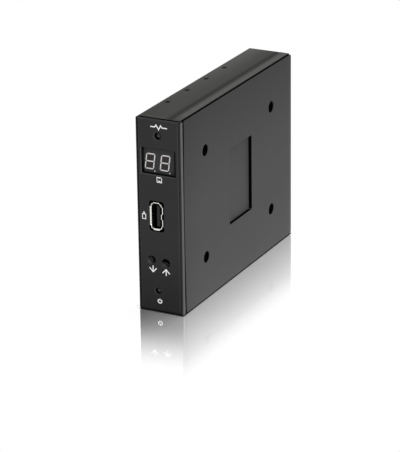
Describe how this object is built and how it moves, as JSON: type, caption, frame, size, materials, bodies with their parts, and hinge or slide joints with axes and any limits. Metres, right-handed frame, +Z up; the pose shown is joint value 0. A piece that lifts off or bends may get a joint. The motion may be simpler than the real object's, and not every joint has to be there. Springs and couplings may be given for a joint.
{
  "type": "floppy drive emulator",
  "caption": "Floppy drive emulator in a slim drive case standing on its long side, with digit display, USB socket, sprung buttons and lamps in front and pin connectors at the rear.",
  "frame": {"origin": "middle of the footprint on the surface that the drive stands on", "axes": "+X from the underside to the lid, -Y towards the front plate, +Z up along the drive's width"},
  "size_m": [0.0246, 0.127, 0.1016],
  "materials": {
    "tray_plastic": "fine satin moulding, dark grey",
    "lid_plastic": "fine satin moulding, dark grey",
    "plate_plastic": "fine satin moulding, darker grey",
    "screw_steel": "blackened steel",
    "board_green": "green solder mask",
    "display_face": "smooth dark face",
    "segment_white": "unlit milky segments",
    "tinned_pin": "tinned",
    "lamp_lens": "milky lens",
    "spacer_plastic": "black plastic",
    "switch_plastic": "black plastic",
    "sheet_steel": "plain steel sheet",
    "plunger_plastic": "black plastic",
    "socket_shell": "nickel-plated sheet",
    "connector_plastic": "black connector plastic",
    "gold_contact": "gold flash",
    "shunt_plastic": "black plastic",
    "natural_plastic": "natural connector plastic",
    "chip_epoxy": "moulded epoxy",
    "capacitor_can": "bare can",
    "resistor_body": "black top"
  },
  "bodies": {
    "chassis": {"board_screws": "screw_steel", "buffer_pins": "tinned_pin", "buffers": "chip_epoxy", "busy_lamp": "lamp_lens", "busy_lamp_spacer": "spacer_plastic", "capacitors": "capacitor_can", "controller": "chip_epoxy", "controller_pins": "tinned_pin", "cover_screws": "screw_steel", "crystal": "sheet_steel", "display_body": "display_face", "display_pins": "tinned_pin", "display_segments": "segment_white", "down_switch_body": "switch_plastic", "down_switch_cover": "sheet_steel", "floppy_header": "connector_plastic", "floppy_header_pins": "gold_contact", "front_board": "board_green", "front_plate": "plate_plastic", "jumper_block": "connector_plastic", "jumper_pins": "gold_contact", "lamp_leads": "tinned_pin", "lid": "lid_plastic", "link_header": "connector_plastic", "link_pins": "gold_contact", "main_board": "board_green", "power_lamp": "lamp_lens", "power_lamp_spacer": "spacer_plastic", "power_pins": "tinned_pin", "power_socket": "natural_plastic", "regulator": "chip_epoxy", "resistors": "resistor_body", "switch_legs": "tinned_pin", "tray": "tray_plastic", "up_switch_body": "switch_plastic", "up_switch_cover": "sheet_steel", "usb_contacts": "gold_contact", "usb_shell": "socket_shell", "usb_tongue": "connector_plastic"},
    "down_plunger": {"down_button": "plunger_plastic"},
    "up_plunger": {"up_button": "plunger_plastic"},
    "shunt": {"jumper_shunt": "shunt_plastic"}
  },
  "joints": [
    {"name": "down_press", "type": "slide", "parent": "chassis", "child": "down_plunger", "axis": [0, 1, 0], "range_m": [0, 0.0004], "stiffness_N_per_m": 4000},
    {"name": "up_press", "type": "slide", "parent": "chassis", "child": "up_plunger", "axis": [0, 1, 0], "range_m": [0, 0.0004], "stiffness_N_per_m": 4000},
    {"name": "shunt_pull", "type": "slide", "parent": "chassis", "child": "shunt", "axis": [0, 1, 0], "range_m": [0, 0.008]}
  ]
}
